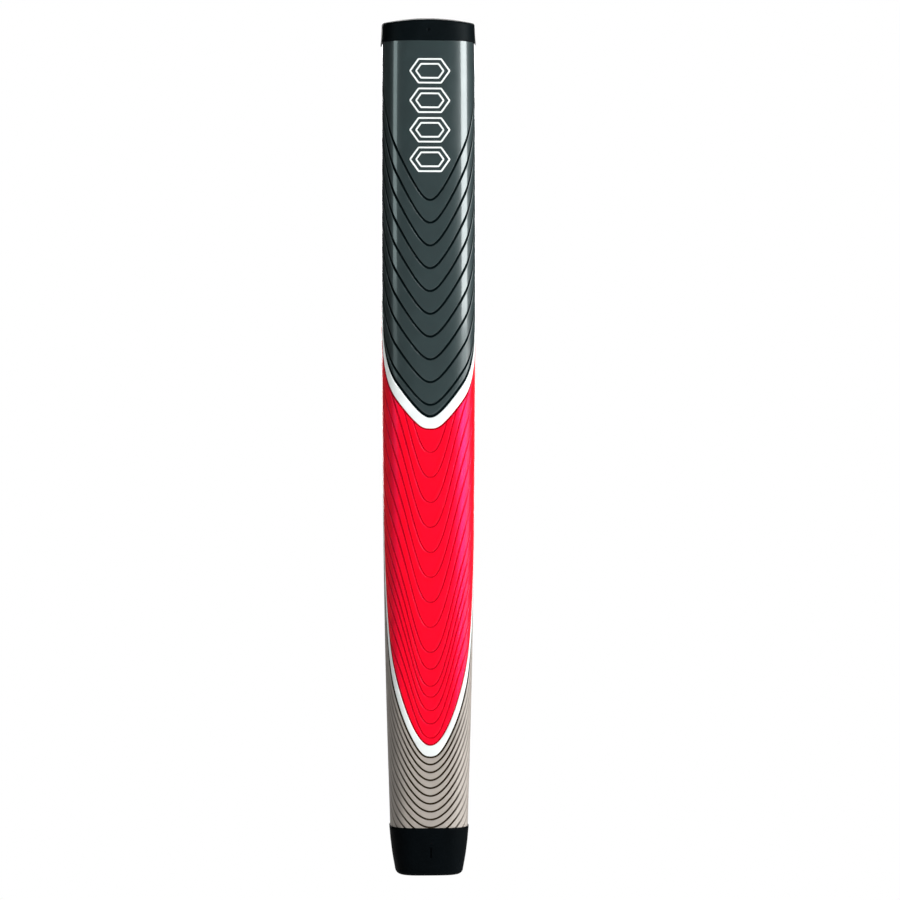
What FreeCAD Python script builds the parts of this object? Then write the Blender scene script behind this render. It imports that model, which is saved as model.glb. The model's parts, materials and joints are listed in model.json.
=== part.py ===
import FreeCAD, Part
import math
import os

# A pistol-style putter grip, as the separate pieces it is put together from:
# a foam core with the shaft bore, a felt backing, five coloured skin panels
# closed by a seam down the back, a mark let into the face, and the rubber
# end cap and tip collar that hold the ends of the wrap.
#
# Millimetres. +Z runs up the bore from the open tip to the end cap, the flat
# thumb face looks towards -Y and the pistol swell towards +Y. The origin is
# the centre of the bore's mouth.

# ---- overall sizes ----
GRIP_LENGTH = 266.7             # a 10.5 inch putter grip
BORE_RADIUS = 7.366             # a 0.580 inch putter shaft
BORE_DEPTH = 257.0              # the shaft's butt stops against the cap's plug
VENT_RADIUS = 1.25              # lets the air out when the grip is pushed on

# ---- outside shape ----
# height, half width, depth in front of the bore axis, depth behind it
STATIONS = (
    (-6.0, 11.75, 11.55, 11.65),
    (30.0, 12.52, 11.85, 12.10),
    (60.0, 13.36, 12.10, 12.50),
    (95.0, 13.98, 12.35, 12.95),
    (130.0, 14.37, 12.50, 13.90),
    (170.0, 14.65, 12.65, 16.60),
    (205.0, 14.70, 12.80, 19.70),
    (235.0, 14.64, 12.90, 20.90),
    (272.0, 14.23, 12.95, 19.00),
)
FRONT_POWER = 3.6               # superellipse power: a flat face, tight corners
BACK_POWER = 2.2                # a nearly elliptical back

# ---- layers ----
SKIN = 1.5                      # moulded polymer skin
FELT = 0.8                      # backing sheet under the skin
LAP = 0.5                       # rebate in the skin under the cap and the collar
WRAP_BOTTOM = 11.2              # lower end of skin and felt, inside the collar
WRAP_TOP = 262.5                # upper end of skin, felt and core, under the cap

# ---- colour bands ----
# The top edge is a V or U on the face: from its tip it runs up each side at
# slope * (sqrt(run^2 + nose^2) - nose), climbs faster where it turns on to the
# side, and levels off across the back. The bottom edge keeps tip_width below
# it at the tip and arm_width in the arms, less where they climb faster.
UPPER_BAND = {"tip": 141.8, "slope": 1.44, "nose": 4.2, "bend": 18.0, "level": 34.0,
              "climb": 15.0, "climb_start": 11.0, "climb_end": 28.0,
              "tip_width": 3.3, "arm_width": 2.7}
LOWER_BAND = {"tip": 40.5, "slope": 5.87, "nose": 15.0, "bend": 18.0, "level": 34.0,
              "climb": 25.0, "climb_start": 12.0, "climb_end": 26.0,
              "tip_width": 3.3, "arm_width": 1.5}
TAPER = 3.5                     # run over which a band narrows from tip to arm

# ---- seam and felt gap at the back ----
SEAM_WIDTH = 2.4
FELT_GAP = 0.6

# ---- end cap ----
CAP_LIP = 258.3                 # lower rim of the cap's skirt
CAP_GROWTH = ((CAP_LIP, 0.34), (260.5, 0.20), (264.0, 0.12), (268.0, 0.10))
DOME_RADIUS = 64.0
DOME_SHIFT = 3.0                # the dome is centred on the section, not the bore
CAP_ROUND = 0.6
PLUG_RADIUS = 9.0

# ---- tip collar ----
COLLAR_TOP = 15.0
COLLAR_ROUND = 1.6
COLLAR_GROWTH = ((COLLAR_ROUND, -1.22), (4.0, -0.80), (6.5, -0.42), (10.2, -0.02), (COLLAR_TOP, 0.30))
COLLAR_FLOOR = 4.0
TICK_BOTTOM = 5.8
TICK_TOP = 8.9
TICK_WIDTH = 0.8
TICK_DEPTH = 0.35

# ---- mark on the face: a column of long hexagons, each drawn as two outlines ----
MARK_COUNT = 4
MARK_MIDDLE = 235.2
MARK_PITCH = 9.1
MARK_HALF_WIDTH = 6.4           # out to the points at the left and right
MARK_FLAT = 3.6                 # half length of the level top and bottom sides
MARK_HALF_HEIGHT = 3.9
MARK_LINE = 0.5
MARK_STROKE = 2.0               # across both outlines and the gap between them
MARK_DEPTH = 0.4

# ---- how finely outlines are drawn ----
OUTLINE_POINTS = 48
WALK_STEPS = 720
REACH = 60.0                    # larger than any cross-section
SETTLE_ROUNDS = 8
LONG_EDGE = 50.0                # edges that run right round the grip are longer
FOOT_ROWS = 5
CUT_IN = 0.80                   # band cuts reach from here to there, as shares of
CUT_OUT = 1.06                  # the distance from the bore axis to the skin


def blend_rows(rows, height):
    """Straight-line value of every column of a height table at one height."""
    for low, high in zip(rows, rows[1:]):
        if height <= high[0]:
            break
    share = (height - low[0]) / (high[0] - low[0])
    return [a + share * (b - a) for a, b in zip(low[1:], high[1:])]


def outline_walk(half_width, front, back):
    """The closed outline as fine steps from the back centre, by way of +X."""
    steps = []
    for index in range(WALK_STEPS + 1):
        angle = math.pi - 2.0 * math.pi * index / WALK_STEPS
        side, ahead = math.sin(angle), math.cos(angle)
        power, depth = (FRONT_POWER, front) if ahead > 0.0 else (BACK_POWER, back)
        x = math.copysign(half_width * abs(side) ** (2.0 / power), side)
        y = -math.copysign(depth * abs(ahead) ** (2.0 / power), ahead)
        steps.append((x, y))
    return steps


def walk_to(steps, distances):
    """Points at the given distances along a walked outline, in rising order."""
    points = []
    travelled = 0.0
    index = 0
    for distance in distances:
        while index < len(steps) - 2:
            stride = math.dist(steps[index], steps[index + 1])
            if travelled + stride >= distance:
                break
            travelled += stride
            index += 1
        (x0, y0), (x1, y1) = steps[index], steps[index + 1]
        share = (distance - travelled) / math.dist((x0, y0), (x1, y1))
        points.append((x0 + share * (x1 - x0), y0 + share * (y1 - y0)))
    return points


def perimeter(steps):
    return sum(math.dist(a, b) for a, b in zip(steps, steps[1:]))


def closed_curve(points):
    """A smooth closed curve through points, evenly spaced in its parameter."""
    curve = Part.BSplineCurve()
    marks = [index / len(points) for index in range(len(points) + 1)]
    curve.interpolate(Points=points, Parameters=marks, PeriodicFlag=True)
    return curve.toShape()


def section(height, growth, sizes):
    """One cross-section wire, made larger all round by growth."""
    steps = outline_walk(*[size + growth for size in sizes])
    length = perimeter(steps)
    distances = [length * index / OUTLINE_POINTS for index in range(OUTLINE_POINTS)]
    points = [FreeCAD.Vector(x, y, height) for x, y in walk_to(steps, distances)]
    return Part.Wire([closed_curve(points)])


def slab(low, high):
    corner = FreeCAD.Vector(-REACH, -REACH, low)
    return Part.makeBox(2.0 * REACH, 2.0 * REACH, high - low, corner)


def grip_body(inset, low, high):
    """The whole outside shape, drawn in by inset, between two heights."""
    wires = [section(row[0], -inset, row[1:]) for row in STATIONS]
    return Part.makeLoft(wires, True, False).common(slab(low, high))


def end_piece(growth_rows):
    """A short loft that follows the outside shape with a growth of its own."""
    wires = [section(height, growth, blend_rows(STATIONS, height)) for height, growth in growth_rows]
    return Part.makeLoft(wires, True, False)


def bore(radius, low, high):
    return Part.makeCylinder(radius, high - low, FreeCAD.Vector(0, 0, low))


def eased_run(run, band):
    """Distance round the skin, slowing to a stop between bend and level."""
    if run <= band["bend"]:
        return run
    span = band["level"] - band["bend"]
    turn = 0.5 * math.pi * min(1.0, (run - band["bend"]) / span)
    return band["bend"] + span * math.sin(turn) * 2.0 / math.pi


def side_climb(run, band):
    """Extra rise of a band where it turns from the face on to the side."""
    share = (run - band["climb_start"]) / (band["climb_end"] - band["climb_start"])
    share = min(1.0, max(0.0, share))
    return band["climb"] * share * share * (3.0 - 2.0 * share)


def face_rise(run, band):
    """Rise of a band above its tip, without the extra rise at the side."""
    return band["slope"] * (math.hypot(eased_run(run, band), band["nose"]) - band["nose"])


def top_edge(run, band):
    """Height of a band's top edge at a distance round the skin from the face."""
    return band["tip"] + face_rise(run, band) + side_climb(run, band)


def bottom_edge(run, band):
    """Height of a band's bottom edge, its width measured square to the arm."""
    step = 0.05
    climb = (face_rise(run + step, band) - face_rise(abs(run - step), band)) / (2.0 * step)
    flare = math.exp(-(run / TAPER) ** 2)
    width = band["arm_width"] + (band["tip_width"] - band["arm_width"]) * flare
    return top_edge(run, band) - width * math.hypot(1.0, climb)


def half_outline(height):
    return 0.5 * perimeter(outline_walk(*blend_rows(STATIONS, height)))


def settle_height(share, band, edge):
    """Height of an edge at a share of the way from the face to the back."""
    height = band["tip"]
    for _ in range(SETTLE_ROUNDS):
        height = edge(share * half_outline(height), band)
    return height


def band_wall(band, edge):
    """A wall square to the skin that cuts it along one edge of a band."""
    inner, outer = [], []
    for index in range(2 * OUTLINE_POINTS):
        share = index / OUTLINE_POINTS
        height = settle_height(abs(1.0 - share), band, edge)
        steps = outline_walk(*blend_rows(STATIONS, height))
        x, y = walk_to(steps, [share * half_outline(height)])[0]
        inner.append(FreeCAD.Vector(CUT_IN * x, CUT_IN * y, height))
        outer.append(FreeCAD.Vector(CUT_OUT * x, CUT_OUT * y, height))
    return Part.makeRuledSurface(closed_curve(inner), closed_curve(outer))


def split_by_bands(shell):
    """The skin, cut along the four band edges, from the top panel down."""
    walls = [band_wall(band, edge) for band in (UPPER_BAND, LOWER_BAND) for edge in (top_edge, bottom_edge)]
    pieces = shell.generalFuse(walls)[0].Solids
    return sorted(pieces, key=lambda piece: -piece.optimalBoundingBox().ZMin)


def back_strip(width, low, high):
    """A block that stands for a narrow strip down the middle of the back."""
    return Part.makeBox(width, REACH, high - low, FreeCAD.Vector(-0.5 * width, 0, low))


def hexagon(inset, middle):
    """A long hexagon drawn in by inset, as a bar that runs in through the face."""
    lean = (MARK_HALF_WIDTH - MARK_FLAT) / MARK_HALF_HEIGHT
    half_height = MARK_HALF_HEIGHT - inset
    half_width = MARK_HALF_WIDTH - inset * math.hypot(1.0, lean)
    flat = half_width - lean * half_height
    corners = [(-half_width, 0), (-flat, -half_height), (flat, -half_height),
               (half_width, 0), (flat, half_height), (-flat, half_height)]
    points = [FreeCAD.Vector(x, -REACH, middle + z) for x, z in corners]
    face = Part.Face(Part.makePolygon(points + points[:1]))
    return face.extrude(FreeCAD.Vector(0, REACH, 0))


def hexagon_rings(middle):
    """The outer and inner outline of one hexagon."""
    insets = (0.0, MARK_STROKE - MARK_LINE)
    return [hexagon(inset, middle).cut(hexagon(inset + MARK_LINE, middle)) for inset in insets]


def make_end_cap():
    wall = end_piece(CAP_GROWTH)
    centre = FreeCAD.Vector(0, DOME_SHIFT, GRIP_LENGTH - DOME_RADIUS)
    crown = Part.makeSphere(DOME_RADIUS, centre)
    block = wall.common(crown)
    around = [edge for edge in block.Edges if edge.Length > LONG_EDGE and edge.isClosed()]
    block = block.makeFillet(CAP_ROUND, [max(around, key=lambda edge: edge.CenterOfMass.z)])
    block = block.cut(grip_body(LAP, CAP_LIP - 1.0, WRAP_TOP))
    block = block.fuse(bore(PLUG_RADIUS, BORE_DEPTH, WRAP_TOP))
    return block.cut(bore(VENT_RADIUS, BORE_DEPTH - 1.0, GRIP_LENGTH + 1.0)).removeSplitter()


def rounded_foot():
    """Growth rows that round the collar in under its wall, as a quarter circle."""
    rows = []
    for index in range(FOOT_ROWS + 1):
        angle = 0.5 * math.pi * index / FOOT_ROWS
        height = COLLAR_ROUND * (1.0 - math.sin(angle))
        rows.append((height, COLLAR_GROWTH[0][1] - COLLAR_ROUND * (1.0 - math.cos(angle))))
    return tuple(reversed(rows))


def collar_tick():
    """The upright tick pressed into the collar's front, following its slope."""
    corners = []
    for height in (TICK_BOTTOM, TICK_TOP):
        face = blend_rows(STATIONS, height)[1] + blend_rows(COLLAR_GROWTH, height)[0]
        corners.append(FreeCAD.Vector(-0.5 * TICK_WIDTH, TICK_DEPTH - face, height))
    corners += [FreeCAD.Vector(-0.5 * TICK_WIDTH, -REACH, height) for height in (TICK_TOP, TICK_BOTTOM)]
    side = Part.Face(Part.makePolygon(corners + corners[:1]))
    return side.extrude(FreeCAD.Vector(TICK_WIDTH, 0, 0))


def make_tip_collar():
    block = end_piece(COLLAR_GROWTH).fuse(end_piece(rounded_foot()))
    block = block.cut(grip_body(SKIN + FELT, COLLAR_FLOOR, WRAP_BOTTOM))
    block = block.cut(grip_body(LAP, WRAP_BOTTOM, COLLAR_TOP + 1.0))
    block = block.cut(bore(BORE_RADIUS, -1.0, COLLAR_FLOOR + 1.0))
    return block.cut(collar_tick()).removeSplitter()


def make_foam_core():
    block = grip_body(SKIN + FELT, COLLAR_FLOOR, WRAP_TOP)
    block = block.cut(bore(BORE_RADIUS, COLLAR_FLOOR - 1.0, BORE_DEPTH + 1.0))
    return block.cut(bore(PLUG_RADIUS, BORE_DEPTH, WRAP_TOP + 1.0))


def make_felt_backing():
    outside = grip_body(SKIN, WRAP_BOTTOM, WRAP_TOP)
    sheet = outside.cut(grip_body(SKIN + FELT, WRAP_BOTTOM - 1.0, WRAP_TOP + 1.0))
    return sheet.cut(back_strip(FELT_GAP, WRAP_BOTTOM - 1.0, WRAP_TOP + 1.0))


def make_skin_tube():
    """All of the skin in one piece, thinned where the cap and the collar lap it."""
    outside = grip_body(0.0, COLLAR_TOP, CAP_LIP).fuse(grip_body(LAP, WRAP_BOTTOM, WRAP_TOP))
    return outside.cut(grip_body(SKIN, WRAP_BOTTOM - 1.0, WRAP_TOP + 1.0)).removeSplitter()


def make_face_mark():
    low = MARK_MIDDLE - 0.5 * MARK_COUNT * MARK_PITCH
    inlay = grip_body(0.0, low, CAP_LIP).cut(grip_body(MARK_DEPTH, low - 1.0, CAP_LIP + 1.0))
    first = MARK_MIDDLE - 0.5 * (MARK_COUNT - 1) * MARK_PITCH
    rings = sum([hexagon_rings(first + index * MARK_PITCH) for index in range(MARK_COUNT)], [])
    return Part.makeCompound([inlay.common(ring) for ring in rings])


def build():
    tube = make_skin_tube()
    strip = back_strip(SEAM_WIDTH, WRAP_BOTTOM - 1.0, WRAP_TOP + 1.0)
    panels = split_by_bands(tube.cut(strip))
    upper_skin, upper_band, middle_skin, lower_band, lower_skin = panels
    mark = make_face_mark()
    return {
        "end_cap": make_end_cap(),
        "tip_collar": make_tip_collar(),
        "foam_core": make_foam_core(),
        "felt_backing": make_felt_backing(),
        "upper_skin": upper_skin.cut(mark),
        "upper_band": upper_band,
        "middle_skin": middle_skin,
        "lower_band": lower_band,
        "lower_skin": lower_skin,
        "back_seam": tube.common(strip),
        "face_mark": mark,
    }


os.makedirs("parts", exist_ok=True)
for name, shape in build().items():
    shape.exportStep("parts/" + name + ".step")
    box = shape.optimalBoundingBox()
    print(name, "solids", len(shape.Solids), "valid", shape.isValid(), "volume %.0f" % shape.Volume,
          "z %.2f to %.2f" % (box.ZMin, box.ZMax))
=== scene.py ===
import json
import math

import bpy
import numpy as np
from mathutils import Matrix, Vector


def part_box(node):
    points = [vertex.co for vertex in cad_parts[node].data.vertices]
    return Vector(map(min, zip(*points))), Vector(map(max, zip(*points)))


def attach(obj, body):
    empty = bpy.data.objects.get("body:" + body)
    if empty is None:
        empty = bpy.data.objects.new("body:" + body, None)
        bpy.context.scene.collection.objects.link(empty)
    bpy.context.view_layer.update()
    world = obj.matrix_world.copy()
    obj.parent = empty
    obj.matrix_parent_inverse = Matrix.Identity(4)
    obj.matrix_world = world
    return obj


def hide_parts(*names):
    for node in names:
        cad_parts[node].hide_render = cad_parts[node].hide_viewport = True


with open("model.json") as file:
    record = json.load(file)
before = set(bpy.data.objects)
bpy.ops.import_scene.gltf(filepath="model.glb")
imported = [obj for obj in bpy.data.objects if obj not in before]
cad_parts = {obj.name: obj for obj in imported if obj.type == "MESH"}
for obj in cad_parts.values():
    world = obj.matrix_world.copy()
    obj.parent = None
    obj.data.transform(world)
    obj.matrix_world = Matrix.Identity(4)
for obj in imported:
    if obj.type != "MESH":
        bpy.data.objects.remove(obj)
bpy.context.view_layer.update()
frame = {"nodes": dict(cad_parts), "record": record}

# The looks of a pistol-style putter grip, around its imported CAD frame.
#
# Everything is drawn in millimetres in the CAD frame, with +Z up the bore and
# the flat thumb face towards -Y, and turned into metres when a mesh is made.
# A "run" is a distance round the skin from the middle of the face, positive
# towards +X. "Grow" makes the outline larger all round. A "rule" gives the
# height of a line on the skin at a run.

MM = 0.001


def span(node):
    """Lowest and highest height of a CAD node."""
    low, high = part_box(node)
    return low.z / MM, high.z / MM


def mount_radius(name):
    """Radius that the record gives for one of its mounts."""
    return next(mount["dims"]["r_mm"] for mount in frame["record"]["mounts"] if mount["name"] == name)


# ---- from the frame ----
WRAP_BOTTOM, WRAP_TOP = span("felt_backing")
PLUG_BOTTOM, GRIP_TOP = span("end_cap")
CORE_BOTTOM, CORE_TOP = span("foam_core")
COLLAR_TOP = span("tip_collar")[1]
UPPER_TIP, LOWER_TIP = span("upper_skin")[0], span("middle_skin")[0]
UPPER_TIP_WIDTH = UPPER_TIP - span("upper_band")[0]
LOWER_TIP_WIDTH = LOWER_TIP - span("lower_band")[0]
MARK_BOTTOM, MARK_TOP = span("face_mark")
MARK_HALF_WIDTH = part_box("face_mark")[1].x / MM
BORE_RADIUS = mount_radius("shaft_bore")
VENT_RADIUS = mount_radius("vent_hole")

# ---- as in the CAD source ----
FRONT_POWER = 3.6
BACK_POWER = 2.2
SKIN = 1.5
FELT = 0.8
LAP = 0.5
LAP_STEP = 0.06
SEAM_HALF = 1.2
FELT_GAP_HALF = 0.3
PLUG_RADIUS = 9.0
CAP_LIP = 258.3
DOME_RADIUS = 64.0
DOME_SHIFT = 3.0
COLLAR_ROUND = 1.6
TICK = {"bottom": 5.8, "top": 8.9, "half": 0.4, "depth": 0.35}
UPPER_EDGE = {"slope": 1.44, "nose": 4.2, "bend": 18.0, "level": 34.0}
UPPER_CLIMB = {"climb": 15.0, "climb_start": 11.0, "climb_end": 28.0}
LOWER_EDGE = {"slope": 5.87, "nose": 15.0, "bend": 18.0, "level": 34.0}
LOWER_CLIMB = {"climb": 25.0, "climb_start": 12.0, "climb_end": 26.0}
UPPER_ARM_WIDTH = 2.7
LOWER_ARM_WIDTH = 1.5
TAPER = 3.5
MARK_FLAT = 3.6
MARK_HALF_HEIGHT = 3.9
MARK_LINE = 0.5
MARK_STROKE = 2.0
MARK_DEPTH = 0.4

# ---- the camera: square on to the face, a little to the left of it ----
CAMERA_TURN = math.radians(-3.0)
CAMERA_ROLL = math.radians(0.06)
CAMERA_DISTANCE = 950.0
CAMERA_ASIDE = 6.78
CAMERA_LENS = 121.5
AIM_HEIGHT = 0.4944 * GRIP_TOP

# ---- how finely meshes are drawn ----
PANEL_COLUMNS = 361
FELT_COLUMNS = 181
TURNED_COLUMNS = 640
SEAM_ROW_STEP = 0.6
ROW_STEP = 3.0
INNER_ROWS = 12
FELT_INNER_ROWS = 60
CORE_ROWS = 66


# ======== the outside shape ========

def measure_sizes():
    """Half width, front depth and back depth of the skin, as curves of height."""
    core = frame["nodes"]["foam_core"].data
    points = np.empty(3 * len(core.vertices))
    core.vertices.foreach_get("co", points)
    points = points.reshape(-1, 3) / MM
    pairs = np.empty(2 * len(core.edges), dtype=int)
    core.edges.foreach_get("vertices", pairs)
    start, end = points[pairs[0::2]], points[pairs[1::2]]
    heights = np.linspace(CORE_BOTTOM + 0.5, CORE_TOP - 0.5, 80)
    rows = []
    for height in heights:
        crossing = (start[:, 2] - height) * (end[:, 2] - height) < 0.0
        a, b = start[crossing], end[crossing]
        share = (height - a[:, 2:]) / (b[:, 2:] - a[:, 2:])
        cut = a + share * (b - a)
        rows.append((cut[:, 0].max(), -cut[:, 1].min(), cut[:, 1].max()))
    columns = np.array(rows).T + SKIN + FELT
    return [np.polynomial.Polynomial.fit(heights, column, 8) for column in columns]


HALF_WIDTH, FRONT_DEPTH, BACK_DEPTH = measure_sizes()


def outline_radius(angle, height, grow):
    """Distance from the bore axis to the outline, at an angle from the face."""
    half_width = HALF_WIDTH(height) + grow
    side, ahead = np.abs(np.sin(angle)), np.abs(np.cos(angle))
    front = np.cos(angle) > 0.0
    depth = np.where(front, FRONT_DEPTH(height), BACK_DEPTH(height)) + grow
    power = np.where(front, FRONT_POWER, BACK_POWER)
    return ((side / half_width) ** power + (ahead / depth) ** power) ** (-1.0 / power)


def at_angle(angle, height, radius):
    """Points at a distance from the bore axis."""
    angle, height, radius = np.broadcast_arrays(angle, height, radius)
    return np.stack([radius * np.sin(angle), -radius * np.cos(angle), height], axis=-1)


# Runs are turned into angles with a table of evenly walked outlines.
TABLE_HEIGHTS = np.linspace(-2.0, GRIP_TOP + 2.0, 136)
TABLE_SHARES = np.linspace(0.0, 1.0, 481)


def walk_outlines():
    """Half the length of the outline at each height, and the angles at even shares of it."""
    angles = np.linspace(0.0, math.pi, 1441)
    lengths, rows = [], []
    for height in TABLE_HEIGHTS:
        points = at_angle(angles, height, outline_radius(angles, height, 0.0))
        strides = np.linalg.norm(np.diff(points, axis=0), axis=1)
        walked = np.concatenate([[0.0], np.cumsum(strides)])
        lengths.append(walked[-1])
        rows.append(np.interp(TABLE_SHARES * walked[-1], walked, angles))
    return np.array(lengths), np.array(rows)


HALF_LENGTHS, ANGLE_TABLE = walk_outlines()


def half_length(height):
    """Distance round the skin from the middle of the face to the middle of the back."""
    return np.interp(height, TABLE_HEIGHTS, HALF_LENGTHS)


def turn_to(run, height):
    """Angle round the bore of a run along the skin."""
    run, height = np.broadcast_arrays(run, height)
    column = np.clip(np.abs(run) / half_length(height), 0.0, 1.0) * (len(TABLE_SHARES) - 1)
    row = np.interp(height, TABLE_HEIGHTS, np.arange(len(TABLE_HEIGHTS)))
    left = np.minimum(column.astype(int), len(TABLE_SHARES) - 2)
    low = np.minimum(row.astype(int), len(TABLE_HEIGHTS) - 2)
    across, up = column - left, row - low
    bottom = ANGLE_TABLE[low, left] * (1.0 - across) + ANGLE_TABLE[low, left + 1] * across
    top = ANGLE_TABLE[low + 1, left] * (1.0 - across) + ANGLE_TABLE[low + 1, left + 1] * across
    return np.sign(run) * (bottom * (1.0 - up) + top * up)


def on_skin(run, height, grow=0.0):
    """Points on the outside shape, made larger all round by grow."""
    angle = turn_to(run, height)
    return at_angle(angle, height, outline_radius(angle, height, grow))


# ======== lines on the skin ========

def eased(run, bend, level):
    """The run, slowing to a stop between bend and level."""
    reach = level - bend
    turn = 0.5 * math.pi * np.clip((run - bend) / reach, 0.0, 1.0)
    return np.where(run <= bend, run, bend + reach * np.sin(turn) * 2.0 / math.pi)


def side_climb(run, climb, climb_start, climb_end):
    """Extra rise of a line where it turns from the face on to the side."""
    share = np.clip((run - climb_start) / (climb_end - climb_start), 0.0, 1.0)
    return climb * share * share * (3.0 - 2.0 * share)


def vee(tip, slope, nose, bend, level):
    """Rule of a V or U with its tip on the face, level again at the back."""
    return lambda run: tip + slope * (np.hypot(eased(run, bend, level), nose) - nose)


def climbing(rule, climb):
    """The same line with an extra rise at the side."""
    return lambda run: rule(run) + side_climb(run, **climb)


def steepness(rule, run):
    """Length along a line for each millimetre of run."""
    step = 0.05
    climb = (rule(run + step) - rule(np.abs(run - step))) / (2.0 * step)
    return np.hypot(1.0, climb)


def below(rule, tip_width, arm_width):
    """Rule of a band's lower edge, under its upper edge."""
    def lower(run):
        width = arm_width + (tip_width - arm_width) * np.exp(-(run / TAPER) ** 2)
        return rule(run) - width * steepness(rule, run)
    return lower


def band_edges(tip, tip_width, arm_width, edge, climb):
    """Rules of the top and the bottom edge of a band."""
    top = vee(tip, **edge)
    return climbing(top, climb), climbing(below(top, tip_width, arm_width), climb)


def beside(rule, gap):
    """The same line moved squarely up by gap."""
    return lambda run: rule(run) + gap * steepness(rule, run)


def level_line(height):
    """Rule of a line that stays at one height."""
    return lambda run: np.full_like(run, height)


UPPER_TOP, UPPER_BOTTOM = band_edges(UPPER_TIP, UPPER_TIP_WIDTH, UPPER_ARM_WIDTH, UPPER_EDGE, UPPER_CLIMB)
LOWER_TOP, LOWER_BOTTOM = band_edges(LOWER_TIP, LOWER_TIP_WIDTH, LOWER_ARM_WIDTH, LOWER_EDGE, LOWER_CLIMB)


def charcoal_line(tip):
    """The V lines above the upper band get steeper as they climb the face."""
    steeper_each_mm, climb = 0.0121, 17.0
    slope = UPPER_EDGE["slope"] + steeper_each_mm * (tip - UPPER_TIP)
    return climbing(vee(tip, **{**UPPER_EDGE, "slope": slope}), {**UPPER_CLIMB, "climb": climb})


def red_line(tip):
    """The U lines of the red panel have a round nose and long steep arms."""
    arm_rise, half_way_run, power, side_rise = 40.0, 8.7, 2.5, 0.035
    bend, level = 18.0, 45.0
    scale = np.clip(0.83 + 0.011 * (tip - 43.0), 0.80, 1.0)

    def rule(run):
        far = eased(run, bend, level)
        bell = far ** power / (far ** power + half_way_run ** power)
        return tip + scale * (arm_rise * bell + side_rise * far ** 2)
    return rule


def taupe_line(tip):
    """The lines under the lower band flatten towards the tip of the grip."""
    slope, nose, climb = 4.45, 12.0, 9.0
    scale = max(0.2, 0.57 + 0.0185 * (tip - 17.9))
    edge = {**LOWER_EDGE, "slope": slope * scale, "nose": nose}
    return climbing(vee(tip, **edge), {**LOWER_CLIMB, "climb": climb})


# Heights of the grooves' tips, on the middle of the face.
CHARCOAL_TIPS = [145.8 + 7.03 * index for index in range(10)]
RED_TIPS = [42.9, 47.3, 51.4, 55.5, 58.9, 64.2] + [69.4 + 7.72 * index for index in range(9)]
TAUPE_TIPS = [34.7 - 2.43 * index for index in range(13)]


# ======== meshes ========

def add_piece(name, points, faces, material, node, ink_and_shade=None):
    """A finished piece that stands in for one CAD node, which it hides."""
    mesh = bpy.data.meshes.new(name)
    mesh.from_pydata((np.asarray(points) * MM).tolist(), [], faces)
    if ink_and_shade is not None:
        ink_and_shade_layer = mesh.attributes.new("ink_and_shade", "FLOAT", "POINT")
        ink_and_shade_layer.data.foreach_set("value", np.asarray(ink_and_shade, np.float32))
    mesh.shade_smooth()
    mesh.set_sharp_from_angle(angle=math.radians(65.0))
    mesh.materials.append(material)
    mesh.update()
    piece = bpy.data.objects.new(name, mesh)
    bpy.context.scene.collection.objects.link(piece)
    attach(piece, "root")
    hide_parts(node)
    return piece


def stitch_grid(index, faces, flip=False):
    """Faces between neighbouring rows of vertex numbers, skipping closed-up cells."""
    for low, high in zip(index, index[1:]):
        for column in range(len(low) - 1):
            cell = [low[column], low[column + 1], high[column + 1], high[column]]
            corners = [corner for place, corner in enumerate(cell) if corner != cell[place - 1]]
            if len(corners) >= 3:
                faces.append(corners[::-1] if flip else corners)


def settle(rule, shares, gap):
    """Heights where each column of a panel meets a line."""
    height = np.full_like(shares, 0.5 * GRIP_TOP)
    beyond = 1.0
    for _ in range(12):
        run = np.abs(shares) * (half_length(height) - gap)
        height = np.clip(rule(run), -beyond, GRIP_TOP + beyond)
    return height


def panel_rows(low, high, low_edge, high_edge, rules, shares, gap):
    """Heights of every row of a panel, with the rows between kept off its edges."""
    bottom = [settle(beside(low, offset), shares, gap) for offset in low_edge]
    top = [settle(beside(high, -offset), shares, gap) for offset in reversed(high_edge)]
    top = [np.maximum(row, bottom[-1]) for row in top]
    between = [np.clip(settle(rule, shares, gap), bottom[-1], top[0]) for rule in rules]
    return np.maximum.accumulate(np.array(bottom + between + top), axis=0)


def add_panel(name, material, node, low, high, low_edge, high_edge, rules=(), relief=None,
              gap=SEAM_HALF, grow=0.0, thickness=SKIN,
              columns=PANEL_COLUMNS, inner_count=INNER_ROWS):
    """A closed sheet round the grip between two lines, open only at the back seam."""
    shares = np.linspace(-1.0, 1.0, columns)
    rows = panel_rows(low, high, low_edge, high_edge, rules, shares, gap)
    run = shares * (half_length(rows) - gap)
    lift, ink_and_shade = relief(np.abs(run), rows) if relief else (0.0 * rows, 0.0 * rows)
    points = on_skin(run, rows, grow + lift)
    fresh = np.vstack([np.ones((1, columns), bool), np.diff(rows, axis=0) > 1e-5])
    number = (np.cumsum(fresh.T.ravel()) - 1).reshape(columns, -1).T
    outer = points.transpose(1, 0, 2).reshape(-1, 3)[fresh.T.ravel()]
    outer_ink_and_shade = ink_and_shade.T.ravel()[fresh.T.ravel()]
    blend = np.linspace(0.0, 1.0, inner_count)[:, None]
    inner_rows = rows[0] + blend * (rows[-1] - rows[0])
    inner_run = shares * (half_length(inner_rows) - gap)
    inner = on_skin(inner_run, inner_rows, grow - thickness).reshape(-1, 3)
    inner_number = len(outer) + np.arange(inner_rows.size).reshape(inner_rows.shape)
    faces = []
    stitch_grid(number.tolist(), faces)
    stitch_grid(inner_number.tolist(), faces, flip=True)
    stitch_grid([inner_number[0].tolist(), number[0].tolist()], faces)
    stitch_grid([number[-1].tolist(), inner_number[-1].tolist()], faces)
    for column, turned in ((0, False), (-1, True)):
        rim = list(dict.fromkeys(number[:, column].tolist())) + inner_number[::-1, column].tolist()
        faces.append(rim[::-1] if turned else rim)
    ink_and_shade_values = np.concatenate([outer_ink_and_shade, np.zeros(len(inner))])
    return add_piece(name, np.vstack([outer, inner]), faces, material, node, ink_and_shade_values)


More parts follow.
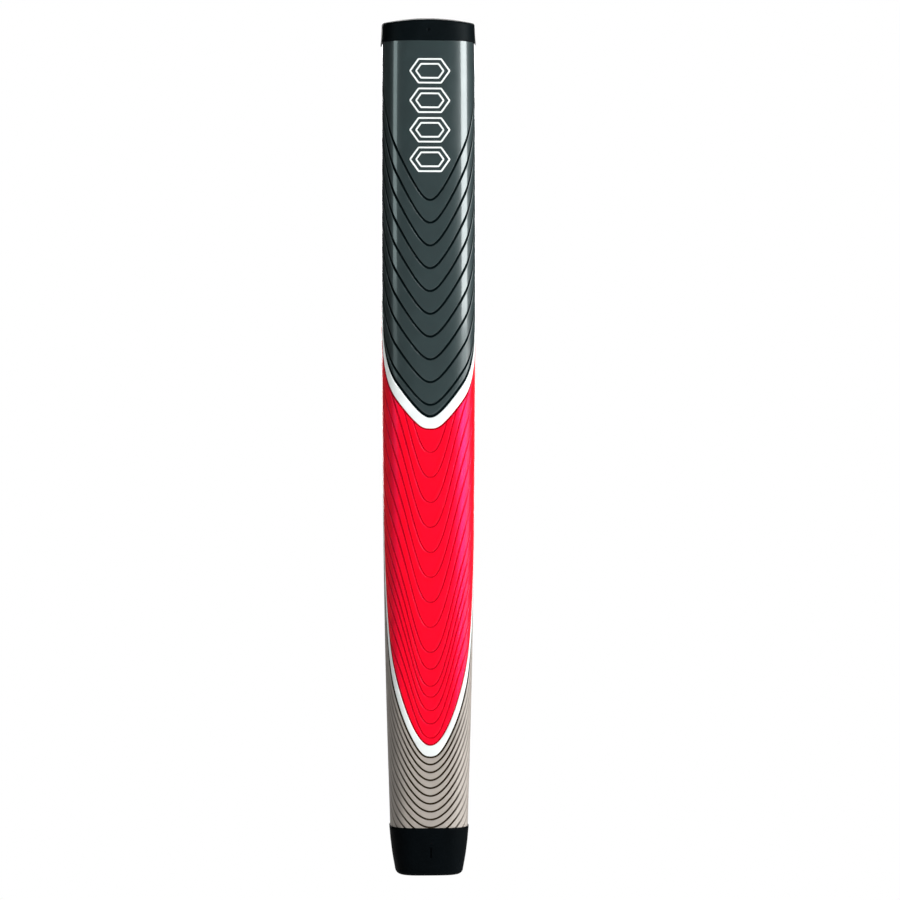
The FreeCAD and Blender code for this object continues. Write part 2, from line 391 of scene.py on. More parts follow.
def add_turned(name, material, node, rings, shape=None):
    """A closed piece from rings of points that run round the bore axis."""
    rings = np.array(rings)
    count, columns = rings.shape[:2]
    points = rings.reshape(-1, 3)
    if shape:
        points = shape(points)
    faces = []
    for row in range(count):
        here, there = row * columns, ((row + 1) % count) * columns
        for column in range(columns):
            following = (column + 1) % columns
            faces.append((here + column, here + following, there + following, there + column))
    return add_piece(name, points, faces, material, node)


def turned_angles(height):
    """Angles of evenly spaced points round the outline at one height."""
    share = np.linspace(-1.0, 1.0, TURNED_COLUMNS, endpoint=False)
    return turn_to(share * half_length(height), height)


# ======== grooves and edges ========

def nearest_line(rules, run, height):
    """Distance on the skin from each point to the nearest of several lines."""
    best = np.full_like(height, 1e3)
    for rule in rules:
        best = np.minimum(best, np.abs(height - rule(run)) / steepness(rule, run))
    return best


def make_relief(low, high, low_table, high_table, grooves=(), width=0.5, depth=0.2, fade=None):
    """Function giving lift and dark colour over a panel from its grooves and its edges: ink in the grooves
    and in most edge lines, and painted shadow along the red panel's rims.

    An edge table holds (distance from the edge, lift, dark share) rows; the dark share is ink, except on
    the red panel's rims, where it is painted shadow.
    """
    def relief(run, height):
        lift, ink_and_shade = np.zeros_like(height), np.zeros_like(height)
        if len(grooves):
            away = nearest_line(grooves, run, height) / width
            strength = fade(run) if fade else 1.0
            lift = -depth * strength * np.interp(away, [0.0, 0.2, 0.4, 0.5], [1.0, 0.85, 0.4, 0.0])
            ink_and_shade = strength * np.interp(away, [0.4, 0.5], [1.0, 0.0])
        for rule, table, side in ((low, low_table, 1.0), (high, high_table, -1.0)):
            offset, edge_lift, edge_ink_and_shade = np.array(table).T
            distance = side * (height - rule(run)) / steepness(rule, run)
            lift = np.minimum(lift, np.interp(distance, offset, edge_lift))
            ink_and_shade = np.maximum(ink_and_shade, np.interp(distance, offset, edge_ink_and_shade))
        return lift, ink_and_shade
    return relief


def groove_rows(line, tips, width, first, last, step=ROW_STEP):
    """Rules of rows that follow every groove closely and fill in between."""
    rules = []
    near = [-0.6, -0.5, -0.4, -0.2, 0.0, 0.2, 0.4, 0.5, 0.6]
    for tip in sorted(tips):
        rules += [(tip, beside(line(tip), share * width)) for share in near]
    stops = [first] + sorted(tips) + [last]
    for low, high in zip(stops, stops[1:]):
        count = max(2, round((high - low) / step))
        between = [low + (high - low) * step_up / count for step_up in range(1, count)]
        rules += [(tip, line(tip)) for tip in between]
    return [rule for _, rule in sorted(rules, key=lambda pair: pair[0])]


ROUNDED = ((0.0, -0.14, 0.0), (0.05, -0.06, 0.0), (0.12, -0.015, 0.0), (0.22, 0.0, 0.0))


def dark_border(width, depth):
    """Edge table of a panel whose rim carries a dark recessed line."""
    return ((0.0, -depth, 1.0), (0.5 * width, -depth, 1.0), (0.8 * width, -0.7 * depth, 1.0),
            (1.0 * width, 0.0, 0.0), (1.3 * width, 0.0, 0.0))


def lapped(length):
    """Edge table of a panel that is thinned for a length under the cap or collar."""
    return ((0.0, -LAP, 0.0), (0.5 * length, -LAP, 0.0), (length, -LAP, 0.0),
            (length + LAP_STEP, 0.0, 0.0), (length + 0.2, 0.0, 0.0))


def offsets(table):
    """Distances from the edge in an edge table."""
    return [row[0] for row in table]


# ======== materials ========

class Nodes:
    """A short way to wire a material's nodes."""

    def __init__(self, name):
        self.material = bpy.data.materials.new(name)
        self.material.use_nodes = True
        self.tree = self.material.node_tree
        self.tree.nodes.clear()
        self.shader = self.add("ShaderNodeBsdfPrincipled")
        output = self.add("ShaderNodeOutputMaterial")
        self.link(self.shader, "BSDF", output, "Surface")
        self.place = self.add("ShaderNodeTexCoord")

    def add(self, kind, **settings):
        node = self.tree.nodes.new(kind)
        for key, value in settings.items():
            setattr(node, key, value)
        return node

    def link(self, source, output, target, socket):
        self.tree.links.new(source.outputs[output], target.inputs[socket])

    def noise(self, millimetres, detail=3.0, roughness=0.55):
        node = self.add("ShaderNodeTexNoise")
        node.inputs["Scale"].default_value = 1.0 / (millimetres * MM)
        node.inputs["Detail"].default_value = detail
        node.inputs["Roughness"].default_value = roughness
        self.link(self.place, "Object", node, "Vector")
        return node

    def remap(self, source, output, low, high):
        """Stretches the middle of a noise to run from low to high."""
        node = self.add("ShaderNodeMapRange")
        node.inputs["From Min"].default_value = 0.3
        node.inputs["From Max"].default_value = 0.7
        node.inputs["To Min"].default_value = low
        node.inputs["To Max"].default_value = high
        self.link(source, output, node, "Value")
        return node

    def mix(self, factor_node, factor_output, low, high):
        """Colour between low and high; each is a colour or a (node, output) pair."""
        node = self.add("ShaderNodeMix", data_type="RGBA")
        self.link(factor_node, factor_output, node, "Factor")
        for value, socket in ((low, 6), (high, 7)):
            if isinstance(value[0], bpy.types.Node):
                self.tree.links.new(value[0].outputs[value[1]], node.inputs[socket])
            else:
                node.inputs[socket].default_value = (*value, 1.0)
        return node

    def bump(self, layers):
        """Chains bump layers given as (noise node, output, depth in millimetres)."""
        previous = None
        for source, output, depth in layers:
            node = self.add("ShaderNodeBump")
            node.inputs["Distance"].default_value = depth * MM
            self.link(source, output, node, "Height")
            if previous:
                self.link(previous, "Normal", node, "Normal")
            previous = node
        self.link(previous, "Normal", self.shader, "Normal")

    def set(self, **values):
        for key, value in values.items():
            self.shader.inputs[key.replace("_", " ")].default_value = value


def matte_ink_and_shade(nodes, ink_and_shade, roughness, level, coat):
    """Lets the ink in grooves, and the painted shadow on the red panel's rims, stay dull and dark, without
    the skin's shine.
    """
    for socket, bare, inked in (("Roughness", roughness, 0.9), ("Specular IOR Level", level, 0.0),
                                ("Coat Weight", coat, 0.0)):
        blend = nodes.add("ShaderNodeMix", data_type="FLOAT")
        nodes.link(ink_and_shade, "Fac", blend, "Factor")
        if isinstance(bare, bpy.types.Node):
            nodes.tree.links.new(bare.outputs["Result"], blend.inputs[2])
        else:
            blend.inputs[2].default_value = bare
        blend.inputs[3].default_value = inked
        nodes.tree.links.new(blend.outputs[0], nodes.shader.inputs[socket])


def shade(colour, factor):
    """A darker or lighter tone of a colour."""
    return tuple(min(1.0, channel * factor) for channel in colour)


def moulded(name, colour, roughness, ink_and_shade_colour, coat=0.0, shine=0.35, tint=(1.0, 1.0, 1.0), glow=0.0):
    """Moulded polymer skin: faint mottling, a fine grain, dark ink in its grooves (painted shadow on the
    red panel's rims) and, where glow is set, a painted glow.
    """
    nodes = Nodes(name)
    mottle = nodes.noise(6.0, 4.0)
    fine = nodes.noise(0.45, 3.0)
    scuff = nodes.noise(2.2, 5.0, 0.7)
    patches = nodes.remap(mottle, "Fac", 0.0, 1.0)
    body = nodes.mix(patches, "Result", shade(colour, 0.93), shade(colour, 1.07))
    ink_and_shade = nodes.add("ShaderNodeAttribute", attribute_name="ink_and_shade")
    body = nodes.mix(ink_and_shade, "Fac", (body, 2), ink_and_shade_colour)
    nodes.tree.links.new(body.outputs[2], nodes.shader.inputs["Base Color"])
    # Emission in the skin's own colour, at strength glow, is a painted glow that keeps pale skins bright
    # where they face away from the lights.
    nodes.tree.links.new(body.outputs[2], nodes.shader.inputs["Emission Color"])
    spread = nodes.remap(scuff, "Fac", roughness - 0.05, roughness + 0.06)
    matte_ink_and_shade(nodes, ink_and_shade, spread, shine, coat)
    nodes.set(Coat_Roughness=0.07, Specular_Tint=(*tint, 1.0), Emission_Strength=glow)
    nodes.bump([(mottle, "Fac", 0.03), (fine, "Fac", 0.006)])
    return nodes.material


def rubber(name, colour, roughness, shine):
    """Dense rubber: near black, with a faint bloom and a fine tooth."""
    nodes = Nodes(name)
    bloom = nodes.noise(8.0, 5.0, 0.65)
    tooth = nodes.noise(0.3, 2.0)
    patches = nodes.remap(bloom, "Fac", 0.0, 1.0)
    body = nodes.mix(patches, "Result", shade(colour, 0.8), shade(colour, 1.35))
    nodes.tree.links.new(body.outputs[2], nodes.shader.inputs["Base Color"])
    spread = nodes.remap(bloom, "Fac", roughness - 0.05, roughness + 0.08)
    nodes.link(spread, "Result", nodes.shader, "Roughness")
    nodes.set(Specular_IOR_Level=shine)
    nodes.bump([(bloom, "Fac", 0.05), (tooth, "Fac", 0.01)])
    return nodes.material


def foam(name, colour):
    """Closed-cell foam: a skin of small round cells."""
    nodes = Nodes(name)
    cells = nodes.add("ShaderNodeTexVoronoi")
    cells.inputs["Scale"].default_value = 1.0 / (0.7 * MM)
    nodes.link(nodes.place, "Object", cells, "Vector")
    mottle = nodes.noise(3.0, 4.0)
    body = nodes.mix(cells, "Distance", shade(colour, 0.6), shade(colour, 1.3))
    nodes.tree.links.new(body.outputs[2], nodes.shader.inputs["Base Color"])
    nodes.set(Roughness=0.9)
    nodes.bump([(mottle, "Fac", 0.1), (cells, "Distance", 0.12)])
    return nodes.material


def felt(name, colour):
    """Pressed felt: soft, hairy and uneven in tone."""
    nodes = Nodes(name)
    hair = nodes.noise(0.25, 6.0, 0.8)
    cloud = nodes.noise(3.0, 3.0)
    patches = nodes.remap(cloud, "Fac", 0.0, 1.0)
    body = nodes.mix(patches, "Result", shade(colour, 0.8), shade(colour, 1.15))
    nodes.tree.links.new(body.outputs[2], nodes.shader.inputs["Base Color"])
    nodes.set(Roughness=0.95, Sheen_Weight=0.4)
    nodes.bump([(hair, "Fac", 0.08)])
    return nodes.material


# ======== the pieces ========

def add_charcoal_panel(material):
    width = 0.78
    low_table, high_table = dark_border(1.0, 0.16), lapped(WRAP_TOP - CAP_LIP)
    lines = [charcoal_line(tip) for tip in CHARCOAL_TIPS]
    relief = make_relief(UPPER_TOP, level_line(WRAP_TOP), low_table, high_table, lines, width, 0.22)
    rules = groove_rows(charcoal_line, CHARCOAL_TIPS, width, UPPER_TIP, WRAP_TOP)
    return add_panel("charcoal_panel", material, "upper_skin", UPPER_TOP, level_line(WRAP_TOP),
                     offsets(low_table), offsets(high_table), rules, relief)


def add_red_panel(material):
    width = 0.62
    # The dark red line along both rims, where the white bands meet the red, is painted shadow; the grooves
    # across the panel carry dark red ink.
    edge = dark_border(0.55, 0.12)
    lines = [red_line(tip) for tip in RED_TIPS]
    relief = make_relief(LOWER_TOP, UPPER_BOTTOM, edge, edge, lines, width, 0.2,
                         lambda run: np.interp(run, [8.0, 16.0], [0.7, 0.46]))
    rules = groove_rows(red_line, RED_TIPS, width, LOWER_TIP - 10.0, UPPER_TIP)
    return add_panel("red_panel", material, "middle_skin", LOWER_TOP, UPPER_BOTTOM,
                     offsets(edge), offsets(edge), rules, relief)


def add_taupe_panel(material):
    width = 0.62
    low_table, high_table = lapped(COLLAR_TOP - WRAP_BOTTOM), dark_border(0.6, 0.16)
    low = level_line(WRAP_BOTTOM)
    lines = [taupe_line(tip) for tip in TAUPE_TIPS]
    relief = make_relief(low, LOWER_BOTTOM, low_table, high_table, lines, width, 0.2,
                         lambda run: np.interp(run, [7.0, 11.0, 17.0], [1.0, 0.6, 0.0]))
    rules = groove_rows(taupe_line, TAUPE_TIPS, width, -8.0, LOWER_TIP + 24.0, 2.0)
    return add_panel("taupe_panel", material, "lower_skin", low, LOWER_BOTTOM,
                     offsets(low_table), offsets(high_table), rules, relief)


def add_band(name, material, node, top, bottom, arm_width):
    relief = make_relief(bottom, top, ROUNDED, ROUNDED)
    shares = [0.3, 0.5, 0.7]
    rules = [beside(top, -arm_width * share) for share in reversed(shares)]
    return add_panel(name, material, node, bottom, top, offsets(ROUNDED), offsets(ROUNDED), rules, relief)


def add_felt(material):
    table = ((0.0, -0.1, 0.0), (0.1, 0.0, 0.0))
    low, high = level_line(WRAP_BOTTOM), level_line(WRAP_TOP)
    heights = np.arange(WRAP_BOTTOM + 4.0, WRAP_TOP - 2.0, 4.0)
    return add_panel("felt_sheet", material, "felt_backing", low, high, offsets(table), offsets(table),
                     [level_line(height) for height in heights], make_relief(low, high, table, table),
                     FELT_GAP_HALF, -SKIN, FELT, FELT_COLUMNS, FELT_INNER_ROWS)


def add_seam(material):
    """A raised bead down the back that closes the wrap, with a fine cross rib."""
    across = np.linspace(-SEAM_HALF, SEAM_HALF, 13)
    low_end, high_end = COLLAR_TOP + LAP_STEP, CAP_LIP - LAP_STEP
    ends = [WRAP_BOTTOM, COLLAR_TOP, low_end, high_end, CAP_LIP, WRAP_TOP]
    between = np.arange(low_end + SEAM_ROW_STEP, high_end - 0.5 * SEAM_ROW_STEP, SEAM_ROW_STEP)
    heights = np.unique(np.concatenate([between, ends]))
    rows = np.repeat(heights[:, None], len(across), axis=1)
    run = np.where(across < 0.0, -1.0, 1.0) * (half_length(rows) - np.abs(across))
    inner = on_skin(run, rows, -SKIN)
    crown = 1.0 - (across / SEAM_HALF) ** 2
    rib = 0.5 - 0.5 * np.cos(2.0 * math.pi * (rows - COLLAR_TOP) / (4.0 * SEAM_ROW_STEP))
    bare = (rows >= low_end) & (rows <= high_end)
    edge_sunk, crown_rise, rib_rise = 0.12, 0.26, 0.05
    lift = np.where(bare, -edge_sunk + crown * (crown_rise + rib_rise * rib), -LAP)
    outer = on_skin(run, rows, lift)
    count = outer.shape[0] * outer.shape[1]
    number = np.arange(count).reshape(outer.shape[:2])
    faces = []
    stitch_grid(number.tolist(), faces, flip=True)
    stitch_grid((number + count).tolist(), faces)
    rim = np.concatenate([number[0], number[1:, -1], number[-1, -2::-1], number[-2:0:-1, 0]])
    following = np.roll(rim, -1)
    faces += np.stack([rim, following, following + count, rim + count], axis=1).tolist()
    return add_piece("seam_bead", np.vstack([outer.reshape(-1, 3), inner.reshape(-1, 3)]), faces,
                     material, "back_seam", np.zeros(2 * count))


def growth_curve(rows):
    heights, growths = np.array(rows).T
    return lambda height: np.interp(height, heights, growths)


CAP_GROWTH = growth_curve([(CAP_LIP, 0.34), (260.5, 0.20), (264.0, 0.12), (268.0, 0.10)])
COLLAR_GROWTH = growth_curve([(1.6, -1.22), (4.0, -0.80), (6.5, -0.42), (10.2, -0.02), (15.0, 0.30)])


def dome_height(points):
    """Height of the domed crown over points given in the plan."""
    across, along = points[..., 0], points[..., 1] - DOME_SHIFT
    return GRIP_TOP - DOME_RADIUS + np.sqrt(DOME_RADIUS ** 2 - across ** 2 - along ** 2)


def add_cap(material):
    dimple = {"x": -0.45, "z": 261.7, "radius": 0.5, "depth": 0.4}
    corner = 0.6
    wall_middle, crown_height = 262.8, 264.5
    angles = turned_angles(CAP_LIP)

    def ring(height, grow):
        return at_angle(angles, height, outline_radius(angles, height, grow))

    def circle(height, radius):
        return at_angle(angles, height, radius)

    rim_growth = float(CAP_GROWTH(crown_height))
    wall_top = dome_height(ring(np.full_like(angles, crown_height), rim_growth)) - corner

    # The lip and the wall, with close rows where the dimple is.
    rings = [ring(CAP_LIP, -LAP), ring(CAP_LIP, 0.0), ring(CAP_LIP, 0.22), ring(CAP_LIP + 0.06, 0.31)]
    dimple_rows = list(np.arange(261.0, 262.45, 0.1))
    for height in [258.5, 258.8, 259.3, 259.8, 260.5] + dimple_rows + [wall_middle]:
        rings.append(ring(height, CAP_GROWTH(height)))
    for share in (0.35, 0.7):
        heights = wall_middle + share * (wall_top - wall_middle)
        rings.append(ring(heights, rim_growth))

    # The rounded corner, then the domed crown in to the vent.
    for turn in np.linspace(0.0, 0.5 * math.pi, 8):
        grow = rim_growth - corner * (1.0 - math.cos(turn))
        edge = ring(np.full_like(angles, crown_height), grow)
        edge[:, 2] = dome_height(edge) - corner * (1.0 - math.sin(turn))
        rings.append(edge)
    plan = rings[-1]
    for share in (0.03, 0.08, 0.16, 0.27, 0.4, 0.54, 0.68, 0.8, 0.9, 0.96, 1.0):
        row = plan + share * (circle(GRIP_TOP, VENT_RADIUS + 0.25) - plan)
        row[:, 2] = dome_height(row)
        rings.append(row)

    # Down the vent, round the plug and back under the crown.
    top = GRIP_TOP - 0.05
    rings += [circle(top - 0.07, VENT_RADIUS + 0.08), circle(top - 0.25, VENT_RADIUS)]
    rings += [circle(height, VENT_RADIUS) for height in (264.0, 261.0, PLUG_BOTTOM + 0.3)]
    rings += [circle(PLUG_BOTTOM, VENT_RADIUS + 0.3), circle(PLUG_BOTTOM, PLUG_RADIUS - 0.3)]
    rings += [circle(PLUG_BOTTOM + 0.3, PLUG_RADIUS), circle(WRAP_TOP, PLUG_RADIUS)]
    rings += [ring(WRAP_TOP, -LAP), ring(0.5 * (WRAP_TOP + CAP_LIP), -LAP)]

    def press_dimple(points):
        away = np.hypot(points[:, 0] - dimple["x"], points[:, 2] - dimple["z"]) / dimple["radius"]
        outside = points[:, 1] < -FRONT_DEPTH(dimple["z"])
        points[:, 1] += np.where(outside, dimple["depth"] * np.clip(1.0 - away ** 2, 0.0, 1.0), 0.0)
        return points

    return add_turned("end_cap_rubber", material, "end_cap", rings, press_dimple)


def add_collar(material):
    angles = turned_angles(COLLAR_TOP)
    wall = SKIN + FELT

    def ring(height, grow):
        return at_angle(angles, height, outline_radius(angles, height, grow))

    def circle(height, radius):
        return at_angle(angles, height, radius)

    # The rim and the outside, with close rows where the tick is.
    top_grow = float(COLLAR_GROWTH(COLLAR_TOP))
    rings = [ring(COLLAR_TOP, -LAP), ring(COLLAR_TOP, top_grow - 0.3)]
    rings += [ring(COLLAR_TOP, top_grow - 0.12), ring(COLLAR_TOP - 0.08, top_grow - 0.02)]
    tick_rows = list(np.arange(9.6, 5.1, -0.1))
    heights = [14.2, 13.4, 12.4, 11.3, 10.2] + tick_rows + [4.6, 4.0, 3.2, 2.4, 1.8]
    rings += [ring(height, COLLAR_GROWTH(height)) for height in heights]

    # The rounded foot, then up the bore and back under the wrap.
    foot = float(COLLAR_GROWTH(COLLAR_ROUND))
    for turn in np.linspace(0.0, 0.5 * math.pi, 10):
        inward = COLLAR_ROUND * (1.0 - math.cos(turn))
        rings.append(ring(COLLAR_ROUND * (1.0 - math.sin(turn)), foot - inward))
    rings += [circle(0.0, BORE_RADIUS + 0.5), circle(0.12, BORE_RADIUS + 0.14), circle(0.5, BORE_RADIUS)]
    rings += [circle(height, BORE_RADIUS) for height in (1.6, 2.8, CORE_BOTTOM)]
    rings += [ring(CORE_BOTTOM, -wall), ring(0.5 * (CORE_BOTTOM + WRAP_BOTTOM), -wall)]
    rings += [ring(WRAP_BOTTOM, -wall), ring(WRAP_BOTTOM, -LAP)]
    rings.append(ring(0.5 * (WRAP_BOTTOM + COLLAR_TOP), -LAP))

    def press_tick(points):
        across = np.clip((TICK["half"] + 0.06 - np.abs(points[:, 0])) / 0.12, 0.0, 1.0)
        middle, reach = 0.5 * (TICK["bottom"] + TICK["top"]), 0.5 * (TICK["top"] - TICK["bottom"])
        along = np.clip((reach + 0.06 - np.abs(points[:, 2] - middle)) / 0.12, 0.0, 1.0)
        outside = points[:, 1] < -(BORE_RADIUS + wall)
        points[:, 1] += np.where(outside, TICK["depth"] * across * along, 0.0)
        return points

    return add_turned("tip_collar_rubber", material, "tip_collar", rings[::-1], press_tick)


def add_core(material):
    angles = turned_angles(0.5 * GRIP_TOP)
    wall = SKIN + FELT
    outside = np.linspace(CORE_BOTTOM, CORE_TOP, CORE_ROWS)
    rings = [at_angle(angles, height, outline_radius(angles, height, -wall)) for height in outside]
    rings += [at_angle(angles, height, PLUG_RADIUS) for height in (CORE_TOP, PLUG_BOTTOM)]
    inside = np.linspace(PLUG_BOTTOM, CORE_BOTTOM, CORE_ROWS)
    rings += [at_angle(angles, height, BORE_RADIUS) for height in inside]
    return add_turned("foam_body", material, "foam_core", rings)


def hexagon_corners(inset):
    """Half width, half flat and half height of a mark's outline drawn in by inset."""
    lean = (MARK_HALF_WIDTH - MARK_FLAT) / MARK_HALF_HEIGHT
    half_height = MARK_HALF_HEIGHT - inset
    half_width = MARK_HALF_WIDTH - inset * math.hypot(1.0, lean)
    return half_width, half_width - lean * half_height, half_height


def hexagon_path(inset, corner=0.35, count=168):
    """A long hexagon with rounded corners, as points and outward directions."""
    wide, flat, high = hexagon_corners(inset + corner)
    upper = [(wide, 0.0), (flat, high), (-flat, high)]
    corners = np.array(upper + [(-x, -z) for x, z in upper])
    turn = np.linspace(0.0, 2.0 * math.pi, 4000, endpoint=False)
    facing = np.stack([np.cos(turn), np.sin(turn)], axis=1)
    points = corners[np.argmax(facing @ corners.T, axis=1)] + corner * facing
    closed = np.vstack([points, points[:1]])
    walked = np.concatenate([[0.0], np.cumsum(np.linalg.norm(np.diff(closed, axis=0), axis=1))])
    target = np.linspace(0.0, walked[-1], count, endpoint=False)
    path = np.stack([np.interp(target, walked, closed[:, axis]) for axis in (0, 1)], axis=1)
    along = np.roll(path, -1, axis=0) - np.roll(path, 1, axis=0)
    outward = np.stack([along[:, 1], -along[:, 0]], axis=1)
    return path, outward / np.linalg.norm(outward, axis=1)[:, None]


def add_mark(material):
    """Four long hexagons down the face, each as two inlaid outlines with a dark rim."""
    count = 4
    pitch = (MARK_TOP - MARK_BOTTOM - 2.0 * MARK_HALF_HEIGHT) / (count - 1)
    rim = 0.75 * MARK_LINE
    edge = 0.5 * MARK_LINE
    profile = ((-rim, -MARK_DEPTH, 1.0), (-rim, 0.015, 1.0), (-edge - 0.04, 0.03, 1.0), (-edge, 0.05, 0.0),
               (0.0, 0.06, 0.0), (edge, 0.05, 0.0), (edge + 0.04, 0.03, 1.0), (rim, 0.015, 1.0),
               (rim, -MARK_DEPTH, 1.0))
    points, faces, ink_and_shade = [], [], []
    for index in range(count):
        middle = MARK_BOTTOM + MARK_HALF_HEIGHT + index * pitch
        for inset in (0.5 * MARK_LINE, MARK_STROKE - 0.5 * MARK_LINE):
            path, outward = hexagon_path(inset)
            start = len(points)
            for across, lift, dark in profile:
                spot = path + across * outward
                points += on_skin(spot[:, 0], middle + spot[:, 1], lift).tolist()
                ink_and_shade += [dark] * len(path)
            for row in range(len(profile)):
                here = start + row * len(path)
                there = start + (row + 1) % len(profile) * len(path)
                for column in range(len(path)):
                    following = (column + 1) % len(path)
                    faces.append((here + column, there + column, there + following, here + following))
    return add_piece("hexagon_mark", points, faces, material, "face_mark", ink_and_shade)


# ======== the studio ========

def add_light(name, azimuth, height, distance, size, power, diffuse=True, glossy=True, colour=(1, 1, 1)):
    """An area light that faces the grip, azimuth degrees to the right of the camera."""
    light = bpy.data.lights.new(name, "AREA")
    light.shape = "RECTANGLE"
    light.size, light.size_y = size[0] * MM, size[1] * MM
    light.energy = power
    light.color = colour
    lamp = bpy.data.objects.new(name, light)
    turn = math.radians(azimuth) + CAMERA_TURN
    lamp.location = (distance * math.sin(turn) * MM, -distance * math.cos(turn) * MM, height * MM)
    aim = math.atan2(AIM_HEIGHT - height, distance)
    lamp.rotation_euler = (0.5 * math.pi + aim, 0.0, turn)
    lamp.visible_diffuse = diffuse
    lamp.visible_glossy = glossy
    lamp.visible_camera = False
    bpy.context.scene.collection.objects.link(lamp)
    return lamp


def add_camera():
    data = bpy.data.cameras.new("camera")
    data.lens = CAMERA_LENS
    data.sensor_width = 36.0
    camera = bpy.data.objects.new("camera", data)
    x = CAMERA_DISTANCE * math.sin(CAMERA_TURN) + CAMERA_ASIDE * math.cos(CAMERA_TURN)
    y = -CAMERA_DISTANCE * math.cos(CAMERA_TURN) + CAMERA_ASIDE * math.sin(CAMERA_TURN)
    camera.location = (x * MM, y * MM, AIM_HEIGHT * MM)
    camera.rotation_euler = (0.5 * math.pi, CAMERA_ROLL, CAMERA_TURN)
    bpy.context.scene.collection.objects.link(camera)
    bpy.context.scene.camera = camera


def add_world(to_camera, to_glossy, to_diffuse):
    """White behind the grip, but dimmer in reflections and as fill light."""
    world = bpy.data.worlds.new("studio")
    bpy.context.scene.world = world
    world.use_nodes = True
    tree = world.node_tree
    tree.nodes.clear()
    path = tree.nodes.new("ShaderNodeLightPath")
    output = tree.nodes.new("ShaderNodeOutputWorld")
    shades = []
    for strength in (to_diffuse, to_glossy, to_camera):
        shade_node = tree.nodes.new("ShaderNodeBackground")
        shade_node.inputs["Strength"].default_value = strength
        shade_node.inputs["Color"].default_value = (1.0, 1.0, 1.0, 1.0)
        shades.append(shade_node)
    mixed = shades[0]
    for ray, shade_node in (("Is Glossy Ray", shades[1]), ("Is Camera Ray", shades[2])):
        mix = tree.nodes.new("ShaderNodeMixShader")
        tree.links.new(path.outputs[ray], mix.inputs[0])
        tree.links.new(mixed.outputs[0], mix.inputs[1])
        tree.links.new(shade_node.outputs[0], mix.inputs[2])
        mixed = mix
    tree.links.new(mixed.outputs[0], output.inputs["Surface"])


def add_floor():
    """A pale round floor well below the grip that fades out into the white."""
    drop, radius = 400.0, 2600.0
    turn = np.linspace(0.0, 2.0 * math.pi, 96, endpoint=False)
    rings = [radius * share for share in (0.02, 0.3, 0.6, 1.0)]
    points = [(r * math.cos(a) * MM, r * math.sin(a) * MM, -drop * MM) for r in rings for a in turn]
    faces = [tuple(range(len(turn)))]
    for row in range(len(rings) - 1):
        for column in range(len(turn)):
            following = (column + 1) % len(turn)
            here, there = row * len(turn), (row + 1) * len(turn)
            faces.append((here + column, there + column, there + following, here + following))
    mesh = bpy.data.meshes.new("floor")
    mesh.from_pydata(points, [], faces)
    material = bpy.data.materials.new("pale_floor")
    material.use_nodes = True
    tree = material.node_tree
    tree.nodes.clear()
    place = tree.nodes.new("ShaderNodeTexCoord")
    distance = tree.nodes.new("ShaderNodeVectorMath")
    distance.operation = "LENGTH"
    fade = tree.nodes.new("ShaderNodeMapRange")
    fade.interpolation_type = "SMOOTHSTEP"
    fade.inputs["From Min"].default_value = 0.5
    fade.inputs["From Max"].default_value = radius * MM * 0.95
    paint = tree.nodes.new("ShaderNodeBsdfDiffuse")
    paint.inputs["Color"].default_value = (0.86, 0.86, 0.86, 1.0)
    glow = tree.nodes.new("ShaderNodeEmission")
    mix = tree.nodes.new("ShaderNodeMixShader")
    output = tree.nodes.new("ShaderNodeOutputMaterial")
    tree.links.new(place.outputs["Object"], distance.inputs[0])
    tree.links.new(distance.outputs["Value"], fade.inputs["Value"])
    tree.links.new(fade.outputs["Result"], mix.inputs[0])
    tree.links.new(paint.outputs[0], mix.inputs[1])
    tree.links.new(glow.outputs[0], mix.inputs[2])
    tree.links.new(mix.outputs[0], output.inputs["Surface"])
    mesh.materials.append(material)
    floor = bpy.data.objects.new("floor", mesh)
    bpy.context.scene.collection.objects.link(floor)


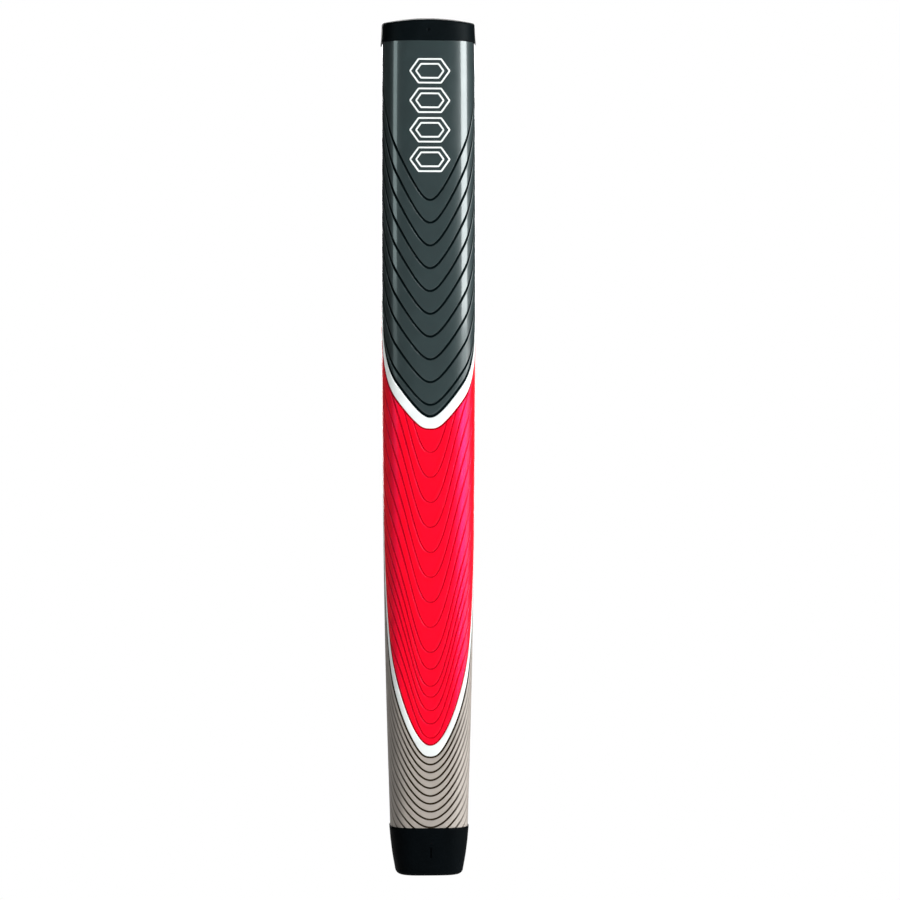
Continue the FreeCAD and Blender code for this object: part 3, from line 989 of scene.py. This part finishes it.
def light_studio():
    teal, pale = (0.80, 1.0, 1.0), (0.93, 1.0, 1.0)
    add_world(1.0, 0.04, 0.34)
    add_light("key", 52.0, 260.0, 1100.0, (500.0, 700.0), 21.0, glossy=False)
    add_light("right_strip", 61.5, 560.0, 1000.0, (600.0, 760.0), 25.5, diffuse=False, colour=pale)
    add_light("left_strip", -50.0, 560.0, 1000.0, (350.0, 700.0), 3.2, diffuse=False, colour=teal)
    add_light("left_low_strip", -50.0, 440.0, 1000.0, (350.0, 700.0), 0.9, diffuse=False, colour=teal)
    add_light("right_low_strip", 84.0, -40.0, 1000.0, (520.0, 480.0), 3.8, diffuse=False)
    add_light("back_soft", 180.0, 500.0, 1200.0, (700.0, 900.0), 14.0)
    bpy.context.scene.view_settings.view_transform = "Standard"


# ======== build ========

BLACK_INK = (0.0012, 0.0035, 0.004)
# Dark red of the red panel's groove ink and of the painted shadow along its rims.
RED_INK_AND_SHADOW = (0.24, 0.0, 0.004)
BROWN_INK = (0.02, 0.014, 0.008)
GREY_INK = (0.1, 0.1, 0.1)
WHITE = (0.44, 0.465, 0.46)
RED_SHINE = (0.9, 0.15, 1.0)

charcoal = moulded("charcoal_skin", (0.0203, 0.0325, 0.034), 0.34, BLACK_INK, coat=0.6)
# Both white bands carry a painted glow: emission that keeps them near white even on the side turned from
# the key light.
upper_white = moulded("upper_white_skin", WHITE, 0.4, GREY_INK, glow=0.67)
lower_white = moulded("lower_white_skin", WHITE, 0.4, GREY_INK, glow=0.5)
red = moulded("red_skin", (0.88, 0.0008, 0.003), 0.36, RED_INK_AND_SHADOW, coat=0.1, shine=0.45, tint=RED_SHINE)
taupe = moulded("taupe_skin", (0.272, 0.245, 0.219), 0.5, BROWN_INK)
# The white mark carries the same painted glow as the white bands.
mark_paint = moulded("white_mark", WHITE, 0.45, BLACK_INK, glow=0.7)
cap_rubber = rubber("cap_rubber", (0.0016, 0.0032, 0.0040), 0.5, 0.03)
collar_rubber = rubber("collar_rubber", (0.0007, 0.0014, 0.0019), 0.6, 0.02)
seam_rubber = rubber("seam_rubber", (0.012, 0.014, 0.016), 0.5, 0.1)

add_charcoal_panel(charcoal)
add_band("upper_white_band", upper_white, "upper_band", UPPER_TOP, UPPER_BOTTOM, UPPER_ARM_WIDTH)
add_red_panel(red)
add_band("lower_white_band", lower_white, "lower_band", LOWER_TOP, LOWER_BOTTOM, LOWER_ARM_WIDTH)
add_taupe_panel(taupe)
add_seam(seam_rubber)
add_felt(felt("backing_felt", (0.35, 0.34, 0.32)))
add_core(foam("core_foam", (0.08, 0.08, 0.085)))
add_cap(cap_rubber)
add_collar(collar_rubber)
add_mark(mark_paint)

add_floor()
add_camera()
light_studio()
